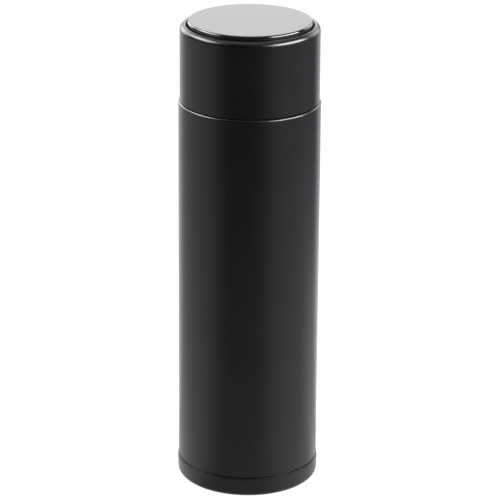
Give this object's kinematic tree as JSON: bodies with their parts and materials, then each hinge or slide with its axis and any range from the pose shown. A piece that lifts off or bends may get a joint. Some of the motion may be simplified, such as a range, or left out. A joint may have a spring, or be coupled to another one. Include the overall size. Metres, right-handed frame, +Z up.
{
  "type": "vacuum flask",
  "caption": "Tall cylindrical double-wall steel flask with a flush screw-on lid, rolled rim and a raised round display disc.",
  "frame": {"origin": "centre of the rest face under the base cup", "axes": "+Z up along the flask axis, +X to the right seen from the front"},
  "size_m": [0.066, 0.066, 0.2211],
  "materials": {
    "shell_paint": "satin black coat",
    "base_paint": "satin black coat",
    "cap_paint": "satin black coat",
    "neck_steel": "turned and polished",
    "liner_steel": "electropolished",
    "copper_foil": "bright copper foil",
    "base_steel": "pressed, mill finish",
    "seal_glass": "fused glass bead",
    "clip_steel": "pressed",
    "getter_metal": "sintered",
    "silicone": "translucent white silicone",
    "core_plastic": "moulded black polypropylene",
    "stopper_steel": "brushed",
    "probe_steel": "polished",
    "seal_rubber": "silicone",
    "thermistor_epoxy": "epoxy bead",
    "lead_insulation": "insulated wire",
    "foam": "closed-cell foam",
    "tray_plastic": "moulded ABS",
    "oring_rubber": "nitrile",
    "cell_can": "nickel-plated can",
    "contact_metal": "gold-flashed spring strip",
    "solder_mask": "green solder mask",
    "component_body": "moulded packages",
    "display_glass": "black display window",
    "spring_steel": "spring wire",
    "screw_steel": "zinc-plated",
    "adhesive": "foam tape",
    "lens_mirror": "semi-mirror gloss disc"
  },
  "bodies": {
    "bottle": {"outer_shell": "shell_paint", "threaded_neck": "neck_steel", "inner_liner": "liner_steel", "copper_foil_wrap": "copper_foil", "outer_base_plate": "base_steel", "vacuum_seal_bead": "seal_glass", "getter_holder": "clip_steel", "getter_pellet": "getter_metal", "base_cup": "base_paint"},
    "seal": {"lid_gasket": "silicone"},
    "lid": {"cap_sleeve": "cap_paint", "cap_core": "core_plastic", "stopper_plate": "stopper_steel", "sensor_probe": "probe_steel", "probe_seal": "seal_rubber", "thermistor": "thermistor_epoxy", "thermistor_leads": "lead_insulation", "insulation_ring": "foam", "electronics_tray": "tray_plastic", "tray_oring": "oring_rubber", "battery_cell": "cell_can", "battery_clip": "contact_metal", "circuit_board": "solder_mask", "board_components": "component_body", "display_module": "display_glass", "touch_spring": "spring_steel", "board_screws": "screw_steel", "lens_adhesive_ring": "adhesive", "display_lens": "lens_mirror"}
  },
  "joints": [
    {"name": "lid_rise", "type": "slide", "parent": "bottle", "child": "seal", "axis": [0, 0, 1], "range_m": [0, 0.0361]},
    {"name": "lid_turn", "type": "hinge", "parent": "seal", "child": "lid", "pos_m": [0, 0, 0.2], "axis": [0, 0, 1], "range_deg": [0, 1080]}
  ],
  "couplings": [
    {"joint": "lid_rise", "follows": "lid_turn", "m_per_rad": 0.0019099}
  ]
}
